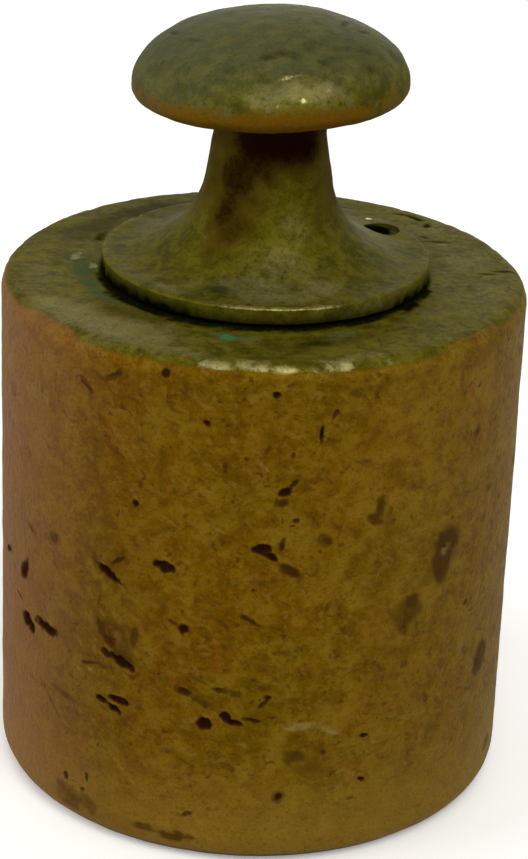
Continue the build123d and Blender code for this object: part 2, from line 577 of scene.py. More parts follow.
# Brown stains on the side: turn, height, length, width, slant, strength.
side_stains = [
    (44.6, 31.3, 6.2, 4.0, 68, 0.85),
    (35.3, 26.5, 5.4, 3.8, 72, 0.6),
    (35.8, 27.4, 2.6, 1.8, 60, 0.75),
    (62, 17.0, 4.8, 3.0, 80, 0.7),
    (64, 16.0, 2.0, 1.4, 80, 0.5),
    (26.5, 38.2, 3.0, 1.5, 75, 0.75),
    (25.5, 36.9, 1.4, 2.2, 60, 0.7),
    (-29.5, 22.8, 5.4, 3.8, -50, 0.55),
    (-28, 21.3, 3.6, 1.2, -25, 0.7),
    (7.5, 32.3, 3.8, 1.2, -38, 0.65),
    (5.6, 34.9, 1.6, 0.7, 80, 0.8),
    (-29.6, 31.2, 2.2, 0.6, 35, 0.75),
    (14.5, 35.2, 2.4, 1.6, -30, 0.55),
    (13.0, 32.5, 0.9, 1.8, 0, 0.5),
    (5.4, 39.3, 1.8, 1.0, 20, 0.65),
    (-4.5, 19.4, 3.4, 0.9, -12, 0.6),
    (-10, 18.1, 3.2, 1.0, -25, 0.6),
    (-14.0, 19.0, 2.6, 1.2, -10, 0.6),
    (-36.5, 19.3, 3.4, 0.6, 12, 0.5),
    (-44, 14.4, 4.2, 1.2, -10, 0.5),
    (-52, 13.9, 2.4, 1.0, -15, 0.45),
    (-48, 12.5, 3.8, 0.6, -50, 0.5),
    (-57, 13.8, 2.5, 0.6, -15, 0.45),
    (-44, 3.4, 5.4, 3.4, -25, 0.5),
    (-37, 3.4, 3.4, 2.2, -20, 0.5),
    (-22.5, 3.0, 3.2, 1.2, 0, 0.65),
    (-15, 2.6, 4.2, 1.3, 0, 0.7),
    (-25, 6.0, 3.6, 0.7, -25, 0.4),
    (10.5, 12.3, 2.8, 2.4, 0, 0.65),
    (14, 10.9, 3.4, 1.6, 0, 0.4),
    (16.4, 12.6, 1.0, 0.8, 0, 0.5),
    (7, 7.9, 1.6, 1.4, 0, 0.6),
    (7, 23.8, 1.8, 0.9, 0, 0.55),
    (22, 8.6, 1.4, 0.9, 0, 0.4),
    (-6, 26.5, 2.6, 0.8, -35, 0.55),
    (-10, 27.8, 1.2, 1.0, 0, 0.4),
    (-69, 48.8, 2.0, 0.9, 45, 0.45),
    (-67, 43.0, 2.4, 1.8, 0, 0.4),
    (-57.5, 37.8, 1.4, 1.4, 0, 0.4),
    (-47.5, 31.0, 1.9, 1.7, 0, 0.6),
    (-57, 30.2, 2.8, 0.8, -20, 0.55),
    (-66, 29.7, 1.6, 0.6, 0, 0.45),
    (-38, 48.0, 3.6, 0.8, -40, 0.6),
    (-31, 50.0, 3.2, 0.8, 35, 0.6),
    (-35, 49.4, 3.0, 0.9, -25, 0.45),
    (-43, 41.0, 2.6, 0.8, 45, 0.4),
    (-26, 44.0, 3.0, 1.2, 20, 0.3),
    (-18, 37.0, 1.0, 0.8, 0, 0.4),
    (60, 35.9, 2.0, 1.4, 0, 0.5),
    (66, 34.0, 1.6, 0.8, 0, 0.45),
    (53, 42.8, 1.8, 1.4, 70, 0.45),
    (55, 24.4, 1.8, 0.7, 60, 0.5),
    (44, 21.5, 1.2, 0.9, 0, 0.4),
    (72, 4.8, 3.0, 2.0, 0, 0.5),
    (40, 4.0, 3.0, 1.2, 0, 0.3),
]

# Pale scratches and rubbed ridges: turn, height, length, width, slant, strength.
side_ridges = [
    (11.5, 15.7, 3.4, 0.9, 8, 0.8),
    (17.0, 15.0, 3.6, 0.7, -28, 0.75),
    (29, 13.0, 2.2, 0.5, 4, 0.6),
    (20, 8.4, 2.2, 0.6, 20, 0.6),
    (22, 10.0, 2.6, 0.4, -20, 0.4),
    (30.5, 8.6, 2.8, 0.4, 85, 0.45),
    (0.5, 43.4, 3.6, 0.4, -45, 0.5),
    (17, 28.5, 4.0, 0.6, 70, 0.35),
    (-40, 18.0, 2.6, 0.4, -12, 0.6),
    (-36, 18.6, 2.4, 0.4, 15, 0.6),
    (-27, 8.6, 3.4, 0.4, -35, 0.5),
    (-24, 7.4, 2.0, 0.4, -20, 0.4),
    (-12, 21.5, 3.0, 0.5, -20, 0.35),
    (-29.6, 23.1, 2.0, 1.2, -50, 0.4),
    (44.8, 31.8, 1.8, 1.2, 60, 0.62),
    (-8, 36.5, 2.4, 0.4, -30, 0.4),
    (-13, 40.3, 3.2, 0.35, -8, 0.4),
]

# Small pits and stains behind, where the side is less knocked about.
chance = random.Random(11)
pits_behind = 26
stains_behind = 60
for _ in range(pits_behind):
    length = chance.uniform(0.5, 2.4)
    width = max(0.4, length * chance.uniform(0.3, 0.8))
    side_pits.append(
        (
            chance.uniform(85, 275), chance.uniform(5, 46), length, width,
            chance.uniform(-45, 30), 0.12 + 0.16 * width,
        )
    )
for _ in range(stains_behind):
    length = chance.uniform(1.0, 3.6)
    side_stains.append(
        (
            chance.uniform(70, 290), chance.uniform(2, 49), length, length * chance.uniform(0.25, 0.7),
            chance.uniform(-60, 40), chance.uniform(0.3, 0.6),
        )
    )

pit_spots = [on_side(*pit[:-1]) for pit in side_pits]
worn_edge = [on_side(turn, body_height / MM - 0.7, 8, 3.2) for turn in range(-40, 41, 8)]
refine(body, pit_spots, 0.35, 3)
refine(body, worn_edge, 0.0, 1)

brush = Brush(body, "pit", "stain", "pale", "bright", "verdigris", "grime_and_shade", "patina")
outside = climb(brush.reach, thread_radius / MM + 1.5, thread_radius / MM + 2.5)
lifted = 1 - fall(brush.height, 0.05, 0.6)
brush.sunk += outside * lifted * (0.06 + 0.05 * brush.waves(9.0, 2) + 0.04 * brush.waves(2.4, 3))
for spot, pit in zip(pit_spots, side_pits):
    depth = pit[-1]
    brush.dent(spot, depth)
    brush.paint(spot, "pit", min(1, 0.1 + 2.2 * depth), 0.55, 1.3)
for *place, strength in side_stains:
    brush.paint(on_side(*place), "stain", strength, 0.5, 1.25)
for *place, strength in side_ridges:
    spot = on_side(*place)
    brush.paint(spot, "pale", strength, 0.3, 1.3)
    brush.press(spot, -0.05)
brush.press(on_side(-29.3, 23.1, 3.0, 2.6, -50), 0.18)

# The green-brown skin of the top face runs over the edge and down the side.
top_height = body_height / MM
on_edge = brush.reach > 24
bare_corner = near_to(np.abs(brush.turn), 52, 4, 12)
patina_foot = 52.1 + 0.9 * bare_corner
patina_reach = 25.2 - 0.4 * bare_corner
patina_fade = 1.4
run_over = np.clip(0.5 + (brush.height - patina_foot) / patina_fade, 0, 1)
brush.wash("patina", run_over * (brush.reach > 20))
brush.wash("patina", 1.0 * (brush.height > top_height - 1.0) * (brush.reach < patina_reach))
# The front of the top edge is painted bright: worn metal under a painted highlight where the lamp above
# catches it.
worn_height = 52.4 + 0.12 * brush.waves(3.0, 2)
edge_wear_and_highlight = near_to(brush.turn, 5, 12, 32) * near_to(brush.height, worn_height, 0.05, 0.55)
brush.wash("bright", edge_wear_and_highlight * on_edge * (0.62 + 0.9 * brush.waves(2.2, 2)))
lip_line = near_to(brush.height, 51.9, 0.5, 1.2) * on_edge
brush.sunk += 0.16 * lip_line * np.maximum(0, brush.waves(1.6, 3))

hole_foot = np.array(hole_place.translation) / MM
hole_way = np.array((hole_place.to_3x3() @ Vector((sin(hole_lean), 0, cos(hole_lean)))))


def deep_in_hole(places):
    """1 on the hole's wall and floor, where the light hardly reaches, and 0 elsewhere."""
    offsets = places - hole_foot
    depth = -(offsets @ hole_way)
    aside = np.linalg.norm(offsets + np.outer(depth, hole_way), axis=1)
    return fall(aside, hole_radius / MM + 0.03, hole_radius / MM + 0.1) * fall(-depth, -0.35, -0.05)


# Painted shade on the hole's wall and floor in the body.
brush.wash("grime_and_shade", deep_in_hole(brush.places))

# Dirt and verdigris lie in the seam round the flange, thickest in front and to the left, and the seam
# is darkened further with painted shade.
seam = fall(brush.reach, 16.3, 16.8) * near_to(brush.turn, 0, 75, 115) * (brush.height > 52)
brush.wash("grime_and_shade", seam * 0.85)


def daub(mark, far, *rows):
    """Paints a mark on the top face: turn, reach, length, width, slant and strength of each spot."""
    for *place, strength in rows:
        brush.paint(on_top(*place), mark, strength, 0.2, far)


daub(
    "grime_and_shade", 1.4,
    (-44, 16.5, 12.0, 1.1, 0, 1.0),
    (-66, 16.4, 9.0, 1.0, 0, 1.0),
    (-22, 16.7, 9.0, 1.2, 0, 0.8),
    (-6, 16.7, 9.0, 0.8, 0, 0.8),
    (14, 16.6, 9.0, 0.6, 0, 0.7),
    (36, 16.6, 8.0, 0.6, 0, 0.8),
    (58, 16.7, 4.6, 1.4, 6, 1.0),
    (69, 16.5, 5.0, 1.0, 0, 0.9),
    (14, 20.0, 6.5, 2.4, 4, 0.6),
    (12, 18.4, 9.0, 1.2, 0, 0.5),
    (-58, 21.5, 4.0, 1.6, 30, 0.3),
    (-30, 21.0, 4.0, 1.4, -20, 0.3),
    (80, 20.5, 5.0, 1.6, 10, 0.3),
    (-115, 18.6, 4.0, 1.6, 15, 0.6),
    (143, 23.2, 3.0, 0.8, 10, 0.7),
    (138, 23.3, 3.0, 1.0, -10, 0.85),
    (132, 22.4, 2.2, 1.0, -60, 0.8),
    (125, 19.9, 2.4, 0.8, 0, 0.7),
    (120, 20.4, 3.6, 0.7, 60, 0.6),
    (152, 20.6, 3.0, 0.8, 20, 0.6),
    (95, 24.0, 3.0, 0.8, 84, 0.75),
    (93, 22.0, 2.6, 0.8, 80, 0.65),
)
daub(
    "verdigris", 1.3,
    (-10, 18.9, 2.8, 1.9, 0, 1.1),
    (-14, 18.5, 2.0, 1.0, 0, 0.75),
    (-62, 17.8, 2.6, 1.5, 0, 0.76),
    (-84, 17.9, 7.0, 3.4, 0, 0.58),
    (-94, 18.8, 5.0, 3.0, 0, 0.56),
    (-70, 17.9, 6.0, 2.6, 0, 0.6),
    (-54, 17.7, 6.0, 1.6, -4, 0.5),
    (-5, 18.8, 4.0, 1.4, 0, 0.5),
    (24, 18.6, 5.0, 1.6, 0, 0.5),
)
daub(
    "stain", 1.4,
    (-40, 18.6, 14.0, 3.0, 0, 0.45),
    (20, 19.6, 12.0, 3.6, 0, 0.4),
    (-80, 22.8, 8.0, 2.6, 10, 0.4),
    (-72, 20.8, 3.0, 1.2, 40, 0.5),
    (-90, 20.6, 4.0, 1.6, 20, 0.4),
    (-105, 23.0, 5.0, 1.8, 0, 0.35),
    (-122, 20.5, 12.0, 4.6, 0, 0.6),
    (-144, 20.6, 14.0, 5.0, 0, 0.7),
    (4, 20.6, 9.0, 2.6, 0, 0.4),
    (46, 21.0, 6.0, 2.0, -20, 0.35),
    (70, 22.6, 6.0, 1.6, 20, 0.35),
    (112, 19.6, 5.0, 1.2, 30, 0.45),
    (128, 19.0, 4.0, 1.0, 40, 0.4),
    (142, 19.5, 5.0, 1.2, 60, 0.45),
    (160, 21.0, 6.0, 1.4, 30, 0.4),
)
daub(
    "pale", 1.4,
    (-36, 21.6, 16.0, 7.4, 0, 0.62),
    (-54, 22.8, 14.0, 6.0, 0, 0.62),
    (-20, 23.6, 8.0, 2.6, 0, 0.5),
    (-78, 22.6, 14.0, 6.5, 0, 0.36),
    (78, 22.4, 14.0, 6.5, 0, 0.36),
    (22, 23.8, 6.0, 2.0, 0, 0.35),
    (104, 20.6, 14.0, 7.0, 0, 0.34),
    (128, 21.6, 12.0, 6.0, 0, 0.3),
    (117, 20.6, 3.0, 0.7, 62, 0.6),
)

# Dents and scratches in the top face: turn, reach, length, width, slant, depth. Deep ones shine.
shining_depth = 0.14
for *place, depth in (
    (-88, 17.1, 2.4, 1.1, 20, 0.16),
    (-95, 18.9, 3.0, 1.1, -10, 0.16),
    (-91, 18.4, 1.0, 0.5, 40, 0.12),
    (150, 19.6, 1.6, 0.6, 10, 0.15),
    (94, 23.4, 4.4, 0.6, 80, 0.13),
    (138, 23.3, 3.0, 0.8, -10, 0.13),
    (132, 22.4, 2.2, 0.8, -60, 0.13),
    (119, 20.4, 4.0, 0.5, 60, 0.13),
    (104, 20.0, 3.0, 0.5, 30, 0.1),
    (-70, 22.5, 2.2, 0.5, 30, 0.12),
    (-52, 23.0, 1.6, 0.6, -30, 0.1),
    (-135, 21.0, 4.0, 0.5, 15, 0.12),
    (175, 20.5, 3.0, 0.6, -40, 0.12),
):
    spot = on_top(*place)
    brush.dent(spot, depth)
    if depth > shining_depth:
        brush.paint(spot, "bright", 0.6, 0.7, 1.3)
brush.done()


def smooth(piece):
    """Shades a piece smooth and leaves its sharp edges."""
    bpy.ops.object.select_all(action="DESELECT")
    piece.select_set(True)
    bpy.context.view_layer.objects.active = piece
    bpy.ops.object.shade_smooth_by_angle(angle=radians(60))


smooth(body)

aged = Finish("aged_brass_body")
place = aged.place()
height = aged.along(place, 2)
across = aged.along(place, 0)
radius = body_radius / MM
broad = aged.cloud(place, 12.0, detail=2.0)
tint = aged.cloud(place, 6.0, detail=3.0)
blotch = aged.cloud(place, 3.4, detail=3.0, roughness=0.6, distortion=0.8)
mottle = aged.cloud(place, 1.7, detail=3.0, roughness=0.6, distortion=0.6)
flecks = aged.cloud(place, 0.7, detail=2.0, roughness=0.6, distortion=0.4)
grain = aged.cloud(place, 0.28, detail=2.0, roughness=0.6)
falling = aged.strokes(place, radius, -24, 1.8, 1.0, 1.0)
rubbed = aged.strokes(place, radius, -34, 1.6, 0.9, 9.0)
ragged = mottle * 0.4 + flecks * 0.3 + grain * 0.3 - 0.5
patina = (aged.mark("patina") + ragged * 1.3).rise(0.4, 0.6)
on_side_only = 1 - patina
falling_marks = falling.rise(0.57, 0.73) * tint.rise(0.4, 0.56) * on_side_only
specks = aged.cloud(place, 1.1, detail=1.0, distortion=0.3).rise(0.66, 0.76) * on_side_only
rubbed_marks = rubbed.rise(0.56, 0.74) * blotch.rise(0.6, 0.44) * on_side_only

# The side is yellow-brown in clouds and paler near the foot, and towards the left edge it carries a
# pink painted reflection.
side_skin = aged.mix(broad.rise(0.3, 0.7), colour(108, 75, 4), colour(99, 75, 3))
side_skin = aged.veined(
    side_skin,
    (tint, 0.55, 0.75, 0.5, (122, 68, 8)),
    (blotch, 0.46, 0.66, 0.42, (124, 102, 26)),
    (blotch, 0.52, 0.34, 0.42, (82, 57, 4)),
    (mottle, 0.48, 0.68, 0.4, (128, 99, 24)),
    (mottle, 0.5, 0.34, 0.42, (76, 52, 4)),
    (flecks, 0.54, 0.72, 0.3, (134, 106, 36)),
    (flecks, 0.48, 0.32, 0.28, (72, 48, 4)),
)
side_skin = aged.mix(falling_marks * 0.45, side_skin, colour(62, 38, 6))
side_skin = aged.mix(specks * 0.6, side_skin, colour(60, 34, 6))
side_skin = aged.mix(rubbed_marks * 0.3, side_skin, colour(134, 110, 42))
side_skin = aged.veined(
    side_skin,
    (height, 14.0, 2.0, 0.5, (138, 110, 40)),
    (height, 1.4, 0.4, 0.8, (58, 22, 8)),
    (across, -4.0, -14.0, 0.2, (84, 44, 10)),
    (across, 6.0, 14.0, 0.08, (146, 116, 44)),
    # Painted reflection: a pink cast towards the left edge.
    (across, -12.0, -26.0, 0.4, (138, 94, 62)),
)

# The top face is olive, and on both lie the marks that the brush left.
top_skin = aged.mix(blotch.rise(0.35, 0.65), colour(76, 69, 8), colour(92, 85, 16))
top_skin = aged.veined(
    top_skin,
    (mottle, 0.48, 0.68, 0.35, (112, 104, 34)),
    (mottle, 0.52, 0.34, 0.35, (54, 48, 6)),
    (flecks, 0.56, 0.74, 0.35, (120, 110, 42)),
    (flecks, 0.46, 0.3, 0.5, (44, 38, 4)),
)
skin = aged.mix(patina, side_skin, top_skin)
stain = (aged.mark("stain") + ragged * 1.2).rise(0.12, 0.8) * 0.85
skin = aged.mix(stain, skin, aged.mix(patina, colour(56, 33, 7), colour(54, 49, 16)))
pale = (aged.mark("pale") + ragged * 1.0).rise(0.05, 0.95) * 0.75
skin = aged.mix(pale, skin, aged.mix(patina, colour(138, 116, 60), colour(130, 120, 74)))
verdigris = (aged.mark("verdigris") + ragged * 1.2).rise(0.15, 0.7)
green = aged.mix(aged.mark("verdigris").rise(0.62, 0.9), colour(66, 84, 60), colour(40, 114, 66))
skin = aged.mix(verdigris * 0.8, skin, green)
# Bright metal in the deep dents, and the painted highlight along the front of the top edge.
bright = (aged.mark("bright") + ragged * 1.5).rise(0.2, 1.0)
skin = aged.mix(bright * 0.8, skin, colour(168, 158, 104))
# Dirt, and painted shade in the seam round the flange and in the hole.
grime_and_shade = (aged.mark("grime_and_shade") + ragged * 1.1).rise(0.1, 0.9)
skin = aged.mix(grime_and_shade, skin, colour(12, 15, 3))
pit_rim = (aged.mark("pit") + ragged * 0.8).rise(0.0, 0.5)
skin = aged.mix(pit_rim * 0.8, skin, colour(56, 32, 8))
pit = (aged.mark("pit") + ragged * 0.7).rise(0.35, 1.0)
skin = aged.mix(pit * 0.85, skin, colour(40, 14, 8))
skin = aged.mix(grain.rise(0.5, 0.3) * 0.3, skin, colour(30, 22, 4))

bareness = 0.66 + bright * 0.2 - patina * 0.32 - pit * 0.3 - grime_and_shade * 0.5 - verdigris * 0.5 - stain * 0.2
dullness = 0.62 + (mottle - 0.5) * 0.25 + pit * 0.25 + grime_and_shade * 0.2 - bright * 0.2
roughened = mottle + flecks * 0.35 + grain * 0.1 - falling_marks * 0.3 - specks * 0.3
body.data.materials.append(
    aged.surface(
        bump_height=roughened * (1 - patina * 0.45), bump_depth=0.2,
        Base_Color=skin, Metallic=bareness, Roughness=dullness, Specular_IOR_Level=0.0,
    )
)
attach(body, "body")
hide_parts("body")


# Knob. One piece of turned brass: a domed head with a rolled lip, a neck that flares into a flange,
# and a threaded spigot below. A fall has bent the head a little to the left.
seat = body_height
flange_top_edge_radius = 0.3 * MM
flange_seat_chamfer = 0.45 * MM
neck_top_radius = 4.95 * MM
neck_half_angle = radians(10)
neck_flare_radius = 8.53 * MM
neck_head_radius = 3 * MM
head_radius = 13.48 * MM
head_underside = 17.35 * MM
head_lip_width = 2.9 * MM
head_lip_height = 1.65 * MM
head_dome_height = 6.9 * MM
head_lean = radians(2.2)
head_lean_height = 15.6 * MM
spigot_radius = 9.95 * MM
spigot_length = 9 * MM
spigot_end_chamfer = 1.2 * MM
thread_relief_depth = 0.8 * MM
thread_relief_width = 1.5 * MM
thread_pitch = 2 * MM
thread_depth = 1.1 * MM
dome_profile = 0.517
lip_profile = 0.5
least_gap = 0.002 * MM
knob_facets = 320

widest = seat + head_underside + head_lip_height
crown = widest + head_dome_height
underside = seat + head_underside
flange_top = seat + flange_thickness
neck_foot_radius = neck_top_radius + (head_underside - flange_thickness) * tan(neck_half_angle)
relief_radius = spigot_radius - thread_relief_depth
rough_outline = [
    (0, crown),
    (head_radius, crown),
    (head_radius, widest),
    (head_radius, underside),
    (head_radius - head_lip_width, underside),
    (neck_top_radius, underside),
    (neck_foot_radius, flange_top),
    (flange_radius, flange_top),
    (flange_radius, seat + flange_seat_chamfer),
    (flange_radius - flange_seat_chamfer, seat),
    (relief_radius, seat),
    (relief_radius, seat - thread_relief_width),
    (spigot_radius, seat - thread_relief_width),
    (spigot_radius, seat - spigot_length + spigot_end_chamfer),
    (spigot_radius - spigot_end_chamfer, seat - spigot_length),
    (0, seat - spigot_length),
]


def at(reach, height):
    return lambda vertex: hypot(vertex.co.x - reach, vertex.co.z - height) < hair


def round_corner(piece, corner, turn, radius, segments):
    """Rounds a corner of the outline, where it turns by this angle, with an arc."""
    half = cos(turn / 2)
    choose(piece, "VERT", at(*corner))
    bpy.ops.mesh.bevel(
        offset=radius * tan(turn / 2), segments=segments, affect="VERTICES",
        profile=((1 + 2 * half) / (2 + 2 * half)) ** 2,
    )


def sweep_corner(piece, corner, profile, segments):
    """Rounds a corner of the outline over the whole of the two stretches that meet there."""
    choose(piece, "VERT", at(*corner))
    bpy.ops.mesh.bevel(
        offset_type="PERCENT", offset_pct=100, segments=segments, profile=profile, affect="VERTICES"
    )


bpy.ops.object.select_all(action="DESELECT")
bpy.ops.mesh.primitive_plane_add(size=1 * MM)
knob = bpy.context.object
knob.name = "leaning_knob"
bpy.ops.object.mode_set(mode="EDIT")
bpy.ops.mesh.select_mode(type="VERT")
bpy.ops.mesh.select_all(action="SELECT")
bpy.ops.mesh.merge(type="CENTER")
bpy.ops.transform.translate(value=(0, 0, crown))
for (reach, height), (next_reach, next_height) in zip(rough_outline, rough_outline[1:]):
    step = (next_reach - reach, 0, next_height - height)
    bpy.ops.mesh.extrude_region_move(TRANSFORM_OT_translate={"value": step})
sweep_corner(knob, (head_radius, crown), dome_profile, 54)
sweep_corner(knob, (head_radius, underside), lip_profile, 16)
round_corner(knob, (neck_top_radius, underside), pi / 2 + neck_half_angle, neck_head_radius, 16)
round_corner(knob, (neck_foot_radius, flange_top), pi / 2 - neck_half_angle, neck_flare_radius, 32)
round_corner(knob, (flange_radius, flange_top), pi / 2, flange_top_edge_radius, 4)


def long_edge(least, inside):
    return lambda edge: edge.calc_length() > least and inside(edge.verts[0].co)


# Long stretches of the outline are divided, so that the brush has vertices to move.
choose(knob, "EDGE", long_edge(2 * MM, lambda point: point.x > relief_radius))
bpy.ops.mesh.subdivide(number_cuts=31)
choose(knob, "EDGE", long_edge(0.6 * MM, lambda point: point.z > flange_top - 0.1 * MM))
bpy.ops.mesh.subdivide(number_cuts=7)
bpy.ops.mesh.select_all(action="SELECT")
bpy.ops.mesh.remove_doubles(threshold=least_gap)
bpy.ops.mesh.select_all(action="SELECT")
bpy.ops.mesh.spin(steps=knob_facets, angle=2 * pi, center=(0, 0, 0), axis=(0, 0, 1))
bpy.ops.mesh.select_all(action="SELECT")
bpy.ops.mesh.remove_doubles(threshold=least_gap)
bpy.ops.mesh.normals_make_consistent(inside=False)
bpy.ops.object.mode_set(mode="OBJECT")
drill_locking_hole(knob)

brush = Brush(knob, "brown", "gold", "pale", "bright", "grime_and_shade", "stain")
above = brush.height - seat / MM
outside = climb(above, -0.3, 0.0)
brush.sunk += outside * (0.08 + 0.07 * brush.waves(5.0, 2) + 0.045 * brush.waves(1.8, 3))


def on_knob(turn, reach, rise, length, width, slant=0):
    """A spot on the knob's turned surface, this far from the axis and above the flange's seat."""
    angle = radians(turn)
    around, outward = np.array((cos(angle), sin(angle), 0)), np.array((sin(angle), -cos(angle), 0))
    centre = outward * reach + np.array((0, 0, seat / MM + rise))
    nearest = np.argmin(np.linalg.norm(brush.places - centre, axis=1))
    up = np.cross(brush.normals[nearest], around)
    return Spot(centre, around, up / np.linalg.norm(up), length, width, slant)


# Soft dents: turn from the front, reach, rise above the seat, length, width, slant, depth.
for *place, depth in (
    (4, 12.3, 21.9, 3.4, 2.6, 0, 0.14),
    (14, 13.0, 21.0, 1.8, 1.2, 20, 0.12),
    (-1.6, 11.0, 23.2, 2.2, 1.4, 0, 0.1),
    (24, 12.7, 21.5, 2.2, 1.4, -30, 0.1),
    (-10, 12.4, 21.6, 2.4, 1.6, 10, 0.08),
    (15, 9.8, 23.9, 2.6, 1.6, 0, 0.08),
    (34, 12.0, 22.2, 2.4, 1.8, 0, 0.08),
    (-30, 11.5, 22.6, 3.0, 2.0, 0, 0.08),
    (-55, 13.3, 20.2, 2.0, 1.4, 0, 0.1),
    (-66, 13.3, 19.8, 2.4, 1.2, 20, 0.14),
    (50, 12.9, 21.2, 2.4, 1.6, 0, 0.1),
    (75, 12.0, 22.2, 3.0, 2.0, 0, 0.1),
    (100, 13.2, 20.4, 2.4, 1.4, 0, 0.12),
    (140, 12.6, 21.6, 3.0, 1.8, 10, 0.12),
    (-150, 12.9, 21.2, 2.6, 1.6, -10, 0.1),
    (-110, 13.3, 20.0, 3.0, 1.6, 0, 0.14),
    (170, 8.0, 24.8, 3.0, 2.2, 0, 0.08),
    (60, 5.0, 25.5, 3.0, 2.0, 0, 0.08),
    (-60, 7.0, 25.0, 2.6, 2.2, 0, 0.07),
):
    brush.press(on_knob(*place), depth)

# Nicks and scratches, in the same columns.
for *place, depth in (
    (9.5, 11.5, 22.8, 1.8, 0.4, 12, 0.08),
    (-52, 8.3, 24.6, 3.0, 0.4, 20, 0.08),
    (0.3, 9.5, 24.1, 1.0, 0.6, 0, 0.08),
    (85, 7.6, 24.8, 2.6, 0.4, -30, 0.08),
    (-20, 13.0, 2.2, 0.8, 0.5, 0, 0.08),
    (10, 13.5, 18.8, 1.0, 0.5, 0, 0.1),
    (-30, 13.5, 19.2, 1.4, 0.5, 10, 0.1),
    (35, 13.5, 19.4, 1.2, 0.4, -10, 0.1),
):
    brush.dent(on_knob(*place), depth)

# Marks, in the same columns, with their strength last.
for mark, spots in {
    # The pale patches on the front of the dome, the flare and the flange, and on the flange's left, are
    # painted highlight and sheen; on the dome's front they also mark rubbed brass.
    "pale": (
        (10, 12.7, 21.6, 8.0, 3.0, -6, 0.55),
        (24, 12.7, 21.5, 4.0, 2.4, -20, 0.65),
        (-2, 13.1, 20.8, 5.0, 1.6, -10, 0.45),
        (10, 9.5, 3.8, 8.0, 4.4, 0, 0.4),
        (-4, 11.8, 2.5, 12.0, 4.0, 0, 0.5),
        (22, 7.2, 6.6, 3.0, 3.6, 0, 0.32),
        (4, 13.4, 2.1, 9.0, 2.6, 0, 0.7),
        (24, 12.4, 2.3, 6.0, 3.0, 0, 0.6),
        (-38, 14.6, 2.0, 6.0, 1.6, 0, 0.4),
    ),
    # The bright spots on the dome's front are painted glints of its highlight, on worn nicks; the last,
    # behind on the flange, is a bright chip.
    "bright": (
        (9.5, 11.5, 22.8, 2.4, 0.5, 12, 0.75),
        (14, 13.0, 21.0, 0.7, 0.6, 0, 0.9),
        (19, 13.0, 20.9, 1.4, 0.4, 10, 0.55),
        (25, 12.6, 21.7, 1.6, 0.3, -30, 0.5),
        (2, 13.2, 20.5, 1.8, 0.4, 0, 0.5),
        (136.4, 15.0, 2.0, 1.2, 0.7, 10, 1.0),
    ),
    "stain": (
        (4, 12.2, 22.0, 2.4, 1.8, 0, 0.4),
        (-1, 9.3, 24.2, 2.6, 1.4, 20, 0.6),
        (6, 8.8, 24.4, 2.8, 1.3, 0, 0.6),
        (13, 9.2, 24.2, 2.6, 1.4, -30, 0.6),
        (-3, 11.4, 22.9, 2.2, 1.4, 60, 0.5),
        (30, 8.0, 24.7, 2.8, 2.2, 20, 0.55),
        (33, 10.3, 23.6, 3.2, 1.4, 10, 0.58),
        (-60, 12.1, 22.2, 4.0, 2.6, 20, 0.5),
        (-85, 9.3, 24.2, 3.0, 0.8, 20, 0.8),
        (89, 7.1, 25.0, 5.0, 1.0, -20, 0.75),
        (84, 8.9, 24.3, 3.4, 0.8, -30, 0.8),
        (65, 3.2, 25.8, 3.6, 1.2, 0, 0.6),
        (49, 13.3, 20.2, 3.4, 1.8, 10, 0.55),
        (54, 11.9, 22.4, 4.0, 1.8, -20, 0.55),
        (-40, 12.8, 21.3, 3.6, 1.8, 0, 0.45),
        (-20, 12.9, 21.0, 4.0, 1.4, 0, 0.4),
        (100, 11.6, 22.6, 4.0, 2.2, 10, 0.6),
        (150, 10.5, 23.5, 5.0, 2.0, -20, 0.6),
        (-130, 11.0, 23.2, 4.4, 2.0, 10, 0.6),
        (-170, 12.4, 21.8, 3.6, 1.8, 0, 0.6),
        (-20, 11.0, 23.2, 3.0, 1.4, 0, 0.45),
        (44, 9.4, 24.1, 3.0, 1.6, 0, 0.55),
        (60, 10.5, 23.5, 3.4, 1.0, -30, 0.5),
        (-2, 11.6, 22.6, 2.0, 1.2, 0, 0.5),
        (34, 11.2, 23.0, 2.4, 1.4, 0, 0.4),
        (-60, 8.6, 24.4, 3.4, 0.8, 25, 0.55),
        (-45, 12.5, 21.8, 3.0, 1.4, 0, 0.35),
        (30, 6.0, 25.3, 3.0, 1.2, 0, 0.4),
        (-19.5, 13.0, 2.2, 3.8, 1.7, 0, 0.85),
        (62, 10.4, 23.5, 5.0, 3.0, 0, 0.3),
    ),
    "gold": (
        (-52, 13.4, 18.9, 5.0, 2.2, 0, 0.5),
        (-66, 13.4, 18.9, 4.0, 2.4, 0, 0.5),
    ),
    "brown": (
        (-28, 6.0, 11.6, 7.0, 6.0, 90, 0.8),
        (-36, 6.6, 8.4, 7.0, 5.0, 80, 0.75),
        (-30, 7.7, 5.8, 6.0, 4.4, 60, 0.68),
        (-14, 6.6, 8.6, 5.0, 3.4, 80, 0.5),
        (-8, 5.9, 12.2, 5.0, 4.0, 90, 0.75),
        (26, 5.9, 12.6, 4.0, 3.0, 90, 0.5),
    ),
}.items():
    for *place, strength in spots:
        brush.paint(on_knob(*place), mark, strength, 0.2, 1.5)

# The lip of the head is handled most and stays golden.
lip = near_to(above, 18.4, 0.6, 2.6) * (brush.reach > 9)
brush.wash("gold", lip * (0.8 - 0.3 * near_to(np.abs(brush.turn), 80, 20, 50)))

# The neck is darkest under the head, where a painted shadow of the head lies over dark patina, browner
# to the left, and less brown in front.
neck = (brush.reach < 9) * fall(above, 17.0, 18.0)
shade_under_head = climb(above, 9.2, 14.4) * fall(above, 18.0, 18.6) * (brush.reach < 12)
brush.wash("brown", shade_under_head * (0.6 + 0.4 * near_to(brush.turn, 12, 28, 58)))
brush.wash("brown", neck * climb(above, 5.0, 9.0) * 0.52 * near_to(brush.turn, -40, 26, 60))
brush.wash("brown", neck * climb(above, 4.0, 8.0) * (0.42 - 0.26 * near_to(brush.turn, 18, 10, 34)))
